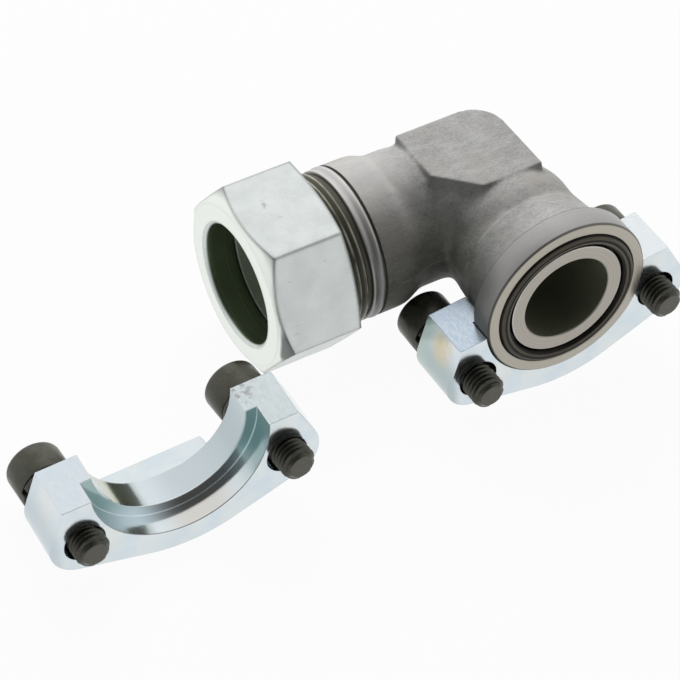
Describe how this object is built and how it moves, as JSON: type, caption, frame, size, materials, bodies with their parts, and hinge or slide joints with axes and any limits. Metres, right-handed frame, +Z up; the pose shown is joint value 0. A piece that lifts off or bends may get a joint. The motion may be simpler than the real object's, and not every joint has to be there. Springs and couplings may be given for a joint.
{
  "type": "split flange elbow fitting",
  "caption": "Right-angle hydraulic elbow: O-ring split-flange head on one end, compression end with hex union nut on the other, with clamp halves, socket cap screws and lock washers.",
  "frame": {"origin": "centre of the flange's sealing face, on the flange axis", "axes": "-Y leaves the flange along its axis, the nut end points along -X and slightly down, +Z is up"},
  "size_m": [0.2032, 0.0957, 0.058],
  "materials": {
    "forged_steel": "matte grey phosphated forging with turned flange face and thread",
    "zinc_nut": "bright satin zinc plating",
    "ring_steel": "plain turned steel",
    "o_ring_rubber": "black nitrile rubber",
    "zinc_half": "blue passivated zinc over forged and turned steel",
    "black_steel": "black oxide, oiled",
    "washer_steel": "black oxide spring steel"
  },
  "bodies": {
    "fitting": {"elbow_body": "forged_steel", "flange_o_ring": "o_ring_rubber", "seated_flange_half": "zinc_half", "free_flange_half": "zinc_half", "seated_left_screw": "black_steel", "seated_left_washer": "washer_steel", "seated_right_screw": "black_steel", "seated_right_washer": "washer_steel", "free_left_screw": "black_steel", "free_left_washer": "washer_steel", "free_right_screw": "black_steel", "free_right_washer": "washer_steel"},
    "ring_carrier": {"cutting_ring": "ring_steel"},
    "nut": {"union_nut": "zinc_nut"}
  },
  "joints": [
    {"name": "nut_travel", "type": "slide", "parent": "fitting", "child": "ring_carrier", "axis": [-0.9967, 0, -0.0816], "range_m": [0, 0.008]},
    {"name": "nut_turn", "type": "hinge", "parent": "ring_carrier", "child": "nut", "pos_m": [-0.06458, 0.05, -0.00529], "axis": [-0.9967, 0, -0.0816], "range_deg": [0, 1440]}
  ],
  "couplings": [
    {"joint": "nut_travel", "follows": "nut_turn", "m_per_rad": 0.00031831}
  ]
}
